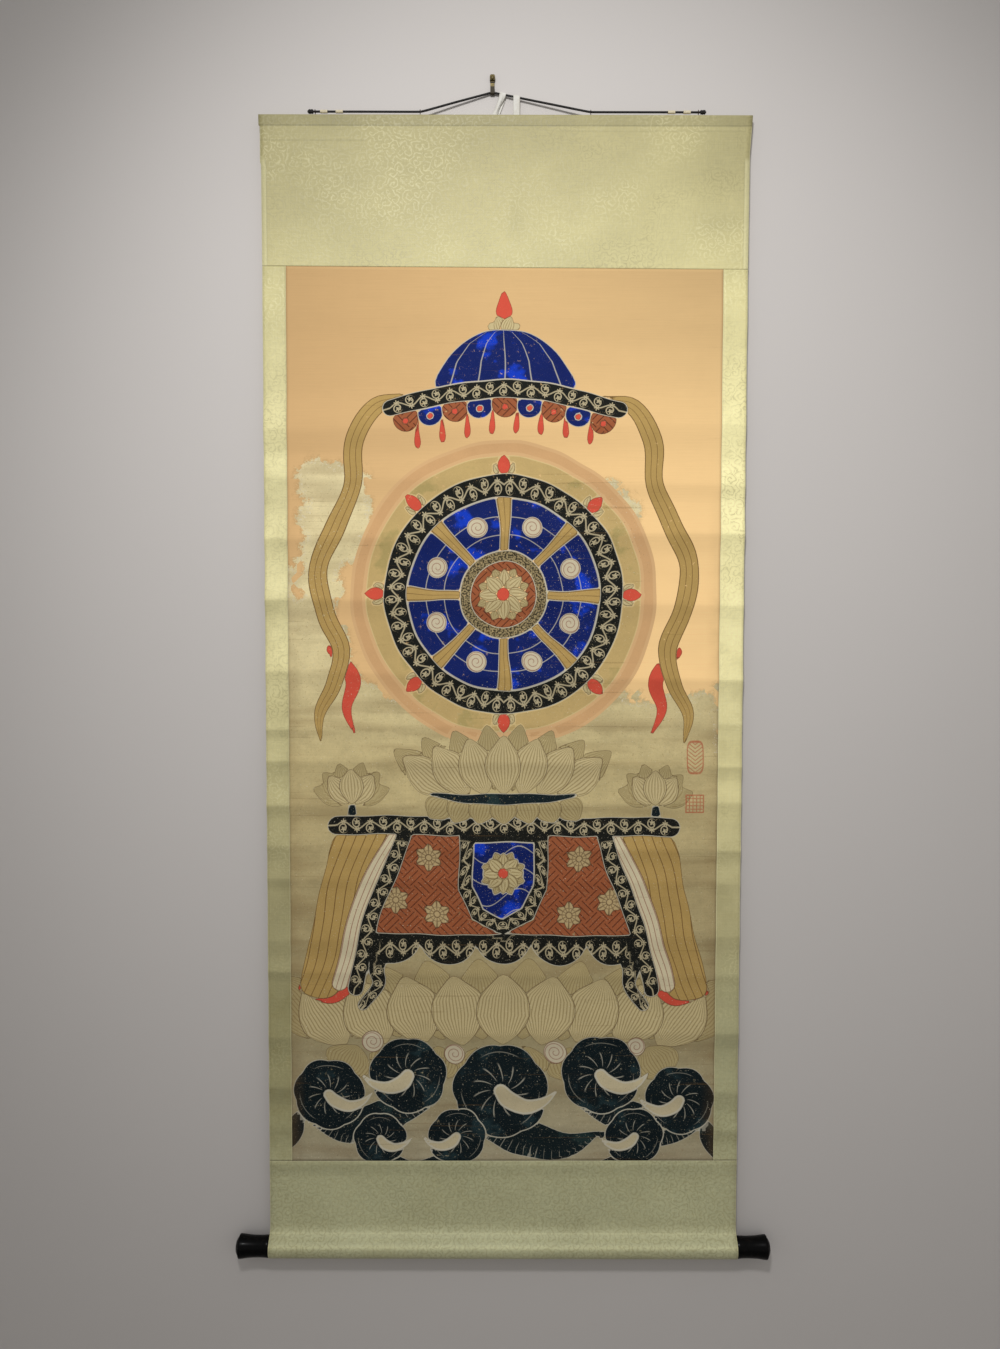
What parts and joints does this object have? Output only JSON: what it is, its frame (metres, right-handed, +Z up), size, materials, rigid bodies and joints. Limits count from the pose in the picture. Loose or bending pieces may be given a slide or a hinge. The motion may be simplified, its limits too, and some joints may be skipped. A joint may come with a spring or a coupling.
{
  "type": "hanging scroll with wall hook",
  "caption": "Tall painted panel in a pale green figured-silk mount, between a half-round stave and a roller with black knobs, hung by a black cord from a small brass hook.",
  "frame": {"origin": "centre of the flat back of the wall hook, which lies on the wall plane", "axes": "+Z up, +Y into the wall, so the painted face looks along -Y; +X to the viewer's right"},
  "size_m": [0.8526, 0.037, 1.8513],
  "materials": {
    "mount_silk": "pale green-gold figured silk damask",
    "painted_paper": "worn painted paper, matte",
    "wood": "plain turned softwood",
    "black_lacquer": "polished black lacquer",
    "black_cord": "round braided cord",
    "cream_thread": "wound thread",
    "eyelet_wire": "darkened steel wire",
    "white_ribbon": "flat woven ribbon",
    "hook_brass": "dulled brass strip"
  },
  "bodies": {
    "root": {"heaven_silk": "mount_silk", "left_border_silk": "mount_silk", "right_border_silk": "mount_silk", "earth_silk": "mount_silk", "painted_panel": "painted_paper", "top_stave": "wood", "bottom_roller": "wood", "left_knob": "black_lacquer", "right_knob": "black_lacquer", "hanging_cord": "black_cord", "left_cord_knot": "black_cord", "right_cord_knot": "black_cord", "cord_band_1": "cream_thread", "cord_band_2": "cream_thread", "cord_band_3": "cream_thread", "cord_band_4": "cream_thread", "eyelet_1": "eyelet_wire", "eyelet_2": "eyelet_wire", "eyelet_3": "eyelet_wire", "eyelet_4": "eyelet_wire", "tie_ribbon": "white_ribbon", "hook_plate": "hook_brass", "hook_nail": "hook_brass"}
  },
  "joints": []
}
